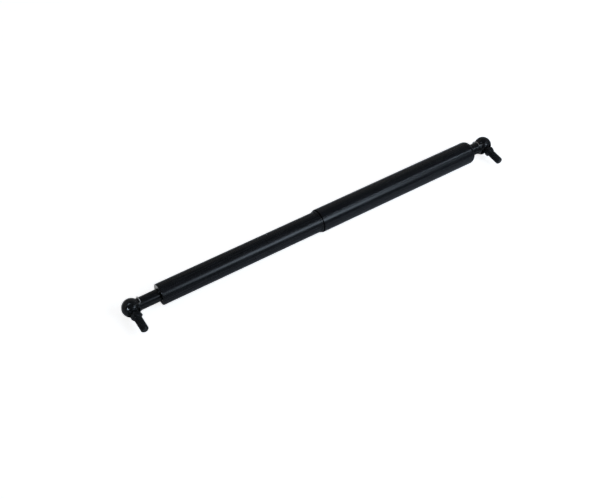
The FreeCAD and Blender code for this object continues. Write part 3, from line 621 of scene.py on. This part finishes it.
def bail_wire(name, colours, roughness):
    """Plated wire of the clips, its colour painted with light and shade: bright on the top of the bow
    over the shank, dark towards the ball and on the underside.
    """
    n = Nodes(name)
    bright, shaded_plating = colours
    axes = n.add("ShaderNodeSeparateXYZ", Vector=n.place)
    halfway = (ball_centre("rod_end").x - ball_centre("cylinder_end").x) / 2
    from_ball = n.math("PINGPONG", axes.outputs["X"], halfway)
    # Painted highlight and shade: bright on the bow's top, darker towards the ball and towards the
    # underside; the smudge noise varies it at random.
    on_bow_side = n.map(from_ball, 0.0, 1.0, BOW_START, BOW_FULL)
    on_top = n.map(axes.outputs["Z"], 0.0, 1.0, UNDERSIDE, TOPSIDE)
    smudge = n.map(n.noise(420.0, detail=3.0), 0.8, 1.0)
    clear_of_painted_shade = n.math("MULTIPLY", n.math("MULTIPLY", on_bow_side, on_top), smudge)
    n.put(n.shader.inputs["Base Color"], n.blend(clear_of_painted_shade, shaded_plating, bright))
    grain = n.noise(1800.0, detail=3.0)
    n.put(n.shader.inputs["Roughness"], n.map(grain, roughness - 0.05, roughness + 0.08))
    n.put(n.shader.inputs["Normal"], n.bump(n.noise(2600.0), 0.15, GRAIN_HEIGHT))
    n.shader.inputs["Metallic"].default_value = 1.0
    return n.material


def moulded(name, colours, roughness, grain=2200.0, bump=0.2):
    """Moulded plastic or rubber with a fine, even grain."""
    n = Nodes(name)
    n.put(n.shader.inputs["Base Color"], n.blend(n.map(n.noise(160.0), 0.0, 1.0), *colours))
    fine = n.noise(grain, detail=3.0)
    n.put(n.shader.inputs["Roughness"], n.map(fine, roughness - 0.05, roughness + 0.08))
    n.put(n.shader.inputs["Normal"], n.bump(fine, bump, PEEL_HEIGHT))
    n.shader.inputs["Specular IOR Level"].default_value = 0.35
    return n.material


def slot_materials():
    """One finished material for each of the record's slots."""
    finishes = {
        "black_paint": (black_paint, {"colours": PAINT, "roughness": 0.24, "peel": 0.10}),
        "sleeve_paint": (black_paint, {"colours": PAINT, "roughness": 0.22, "peel": 0.10}),
        "black_joint": (
            black_paint, {"colours": JOINT_BLACK, "roughness": 0.19, "peel": 0.06, "specular": 0.5},
        ),
        "black_stud": (
            black_paint, {"colours": JOINT_BLACK, "roughness": 0.30, "peel": 0.06, "specular": 0.5},
        ),
        "collar_plastic": (black_paint, {"colours": COLLAR_BLACK, "roughness": 0.24, "peel": 0.06}),
        "clip_wire": (bail_wire, {"colours": CLIP_PLATING_LIT_AND_SHADED, "roughness": 0.30}),
        "spring_wire": (
            bright_metal, {"colours": SPRING_STEEL, "roughness": 0.34, "grain_scale": 1800.0},
        ),
        "rod_steel": (
            bright_metal,
            {"colours": ROD_STEEL, "roughness": 0.10, "grain_scale": 5200.0, "stretch": ROUND_GRAIN,
             "bump": 0.04},
        ),
        "zinc_steel": (
            bright_metal,
            {"colours": ZINC_STEEL, "roughness": 0.34, "grain_scale": 2600.0, "stretch": ROUND_GRAIN},
        ),
        "guide_bronze": (
            bright_metal,
            {"colours": BRONZE, "roughness": 0.42, "grain_scale": 2000.0, "bump": 0.4},
        ),
        "piston_alloy": (
            bright_metal,
            {"colours": ALLOY, "roughness": 0.30, "grain_scale": 2600.0, "stretch": ALONG_GRAIN},
        ),
        "ring_plastic": (moulded, {"colours": PALE_PLASTIC, "roughness": 0.45}),
        "seal_rubber": (
            moulded, {"colours": RUBBER, "roughness": 0.62, "grain": 3000.0, "bump": 0.3},
        ),
    }
    return {slot: make(slot, **settings) for slot, (make, settings) in finishes.items()}


def finish_pieces(materials):
    """Gives every CAD node and every new piece the material of its slot."""
    slots = {item["node"]: item["material_slot"] for item in frame["record"]["subparts"]}
    for node, piece in frame["nodes"].items():
        smooth(piece, CAD_SHARP)
        if node.endswith("_ball_socket"):
            close_poles(piece)
        piece.data.materials.clear()
        piece.data.materials.append(materials[slots[node]])
    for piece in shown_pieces():
        if "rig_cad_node" in piece:
            continue
        piece.data.materials.clear()
        piece.data.materials.append(materials[piece["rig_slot"]])


# Stage ----------------------------------------------------------------------------------------


def camera_only(nodes, seen, unseen):
    """A value that camera rays see as one thing and every other ray as another."""
    path = nodes.new("ShaderNodeLightPath")
    level = nodes.new("ShaderNodeMapRange")
    level.inputs["To Min"].default_value = unseen
    level.inputs["To Max"].default_value = seen
    level.id_data.links.new(path.outputs["Is Camera Ray"], level.inputs["Value"])
    return level.outputs["Result"]


def floor():
    """Pale floor that the strut lies on; light of its own, for the camera alone, keeps shadows faint."""
    place = ((cad_low.x + cad_high.x) / 2, 0, cad_low.z)
    bpy.ops.mesh.primitive_plane_add(size=FLOOR_SIZE, location=place)
    plane = bpy.context.object
    plane.name = "floor"
    n = Nodes("floor_white")
    n.shader.inputs["Base Color"].default_value = FLOOR_COLOUR
    n.shader.inputs["Roughness"].default_value = FLOOR_ROUGHNESS
    n.shader.inputs["Specular IOR Level"].default_value = 0.0
    n.shader.inputs["Emission Color"].default_value = (1.0, 1.0, 1.0, 1.0)
    n.put(n.shader.inputs["Emission Strength"], camera_only(n.tree.nodes, FLOOR_GLOW, 0.0))
    plane.data.materials.append(n.material)


def world():
    """White to the camera; in reflections dark overhead, with a dim backdrop behind the strut (+Y)."""
    studio = bpy.data.worlds.new("studio")
    bpy.context.scene.world = studio
    studio.use_nodes = True
    nodes, links = studio.node_tree.nodes, studio.node_tree.links
    background = nodes["Background"]
    axes = nodes.new("ShaderNodeSeparateXYZ")
    links.new(nodes.new("ShaderNodeTexCoord").outputs["Generated"], axes.inputs[0])
    fade_up = nodes.new("ShaderNodeMapRange")
    back = nodes.new("ShaderNodeMapRange")
    for node, axis, reach, low, high in (
        (fade_up, "Z", BACKDROP_TOP, 1.0, 0.0),
        (back, "Y", BACKDROP_SIDE, 0.0, BACKDROP_LEVEL),
    ):
        links.new(axes.outputs[axis], node.inputs["Value"])
        for socket, number in zip(("From Min", "From Max", "To Min", "To Max"), (*reach, low, high)):
            node.inputs[socket].default_value = number
    backdrop = nodes.new("ShaderNodeMath")
    backdrop.operation = "MULTIPLY_ADD"
    links.new(fade_up.outputs["Result"], backdrop.inputs[0])
    links.new(back.outputs["Result"], backdrop.inputs[1])
    backdrop.inputs[2].default_value = ROOM_LEVEL
    level = nodes.new("ShaderNodeMath")
    level.operation = "MAXIMUM"
    links.new(backdrop.outputs[0], level.inputs[0])
    links.new(camera_only(nodes, 1.0, 0.0), level.inputs[1])
    links.new(level.outputs[0], background.inputs["Strength"])
    background.inputs["Color"].default_value = (1.0, 1.0, 1.0, 1.0)


def fade_ends(data, share):
    """Makes an area light fall away over this share of its long side at each end."""
    data.use_nodes = True
    nodes, links = data.node_tree.nodes, data.node_tree.links
    across = nodes.new("ShaderNodeSeparateXYZ")
    links.new(nodes.new("ShaderNodeNewGeometry").outputs["Parametric"], across.inputs[0])
    from_end = nodes.new("ShaderNodeMath")
    from_end.operation = "PINGPONG"
    links.new(across.outputs["X"], from_end.inputs[0])
    from_end.inputs[1].default_value = 0.5
    level = nodes.new("ShaderNodeMapRange")
    level.interpolation_type = "SMOOTHSTEP"
    links.new(from_end.outputs[0], level.inputs["Value"])
    level.inputs["From Max"].default_value = share
    links.new(level.outputs["Result"], nodes["Emission"].inputs["Strength"])


def area_light(name, place, target, size, power, colour=COOL, turn=0.0):
    """A rectangular soft light at place, aimed at target and turned about its aim by turn degrees."""
    data = bpy.data.lights.new(name, "AREA")
    data.shape = "RECTANGLE"
    data.size, data.size_y = size
    data.energy = power
    data.color = colour
    light = bpy.data.objects.new(name, data)
    bpy.context.scene.collection.objects.link(light)
    light.location = place
    aim = Vector(target) - Vector(place)
    turned = Matrix.Rotation(math.radians(turn), 3, "Z")
    light.rotation_euler = (aim.to_track_quat("-Z", "Y").to_matrix() @ turned).to_euler()
    return light


def strip_light(name, height, start, stop, width, power, fade):
    """A long light beside the strut at this angle above it, from start to stop along X."""
    middle = (cad_low + cad_high) / 2
    along = Vector(((start + stop) / 2 - middle.x, 0, 0))
    angle = math.radians(height)
    away = Vector((0, -math.cos(angle), math.sin(angle))) * STRIP_REACH
    strip = area_light(name, middle + along + away, middle + along, (stop - start, width), power)
    fade_ends(strip.data, fade)


def mirrored_lights():
    """Lights seen only mirrored: a spot and a bar in the near ball housing, a card in the end face."""
    ball = ball_centre("cylinder_end")
    spot = area_light("end_spot", ball + SPOT_PLACE, ball, SPOT_SIZE, SPOT_POWER)
    spot.data.spread = SPOT_SPREAD
    bar = area_light("over_bar", ball + BAR_PLACE, ball, BAR_SIZE, BAR_POWER, turn=BAR_TURN)
    bar.data.spread = BAR_SPREAD
    card_place = Vector((CARD_X, CARD_Y, cad_low.z + CARD_RISE))
    above = card_place + Vector((0, 0, 1))
    card = area_light("end_card", card_place, above, CARD_SIZE, CARD_POWER, NEUTRAL)
    for light in (spot, bar, card):
        light.visible_diffuse = False
        light.visible_camera = False


def soft_lights():
    """Light for the sleeve's lower side and the overall fill, neither mirrored in the paint."""
    ground = Vector((GROUND_LIGHT_X, GROUND_LIGHT_Y, cad_low.z))
    low_light = area_light(
        "ground_light", GROUND_LIGHT_PLACE, ground, GROUND_LIGHT_SIZE, GROUND_LIGHT_POWER,
    )
    middle = (cad_low + cad_high) / 2
    overhead = middle + Vector((0, 0, FILL_HEIGHT))
    fill = area_light("fill", overhead, middle, FILL_SIZE, FILL_POWER, NEUTRAL)
    for light in (low_light, fill):
        light.visible_glossy = False


def lights():
    """The main strip draws the bright line along both tubes; the thin one is above, past the rod end."""
    strip_light("main_strip", **MAIN_STRIP)
    strip_light("thin_strip", **THIN_STRIP)
    mirrored_lights()
    soft_lights()


def camera():
    data = bpy.data.cameras.new("camera")
    data.sensor_width = SENSOR_WIDTH
    data.lens = VIEW_LENS
    data.clip_start = VIEW_NEAR
    data.clip_end = VIEW_FAR
    eye = bpy.data.objects.new("camera", data)
    bpy.context.scene.collection.objects.link(eye)
    eye.location = ball_centre("cylinder_end") + CAMERA_FROM_BALL
    turn = Matrix.Rotation(-math.radians(VIEW_AZIMUTH), 4, "Z")
    tilt = Matrix.Rotation(math.radians(90.0 - VIEW_ELEVATION), 4, "X")
    roll = Matrix.Rotation(math.radians(VIEW_ROLL), 4, "Z")
    eye.rotation_euler = (turn @ tilt @ roll).to_euler()
    bpy.context.scene.camera = eye


for end_name in ENDS:
    ball_stud(end_name)
wire_clip("cylinder_end", "cylinder", 1.0)
wire_clip("rod_end", "rod", -1.0)
finish_pieces(slot_materials())
floor()
world()
lights()
camera()
bpy.context.scene.view_settings.view_transform = "Standard"

bpy.context.view_layer.update()
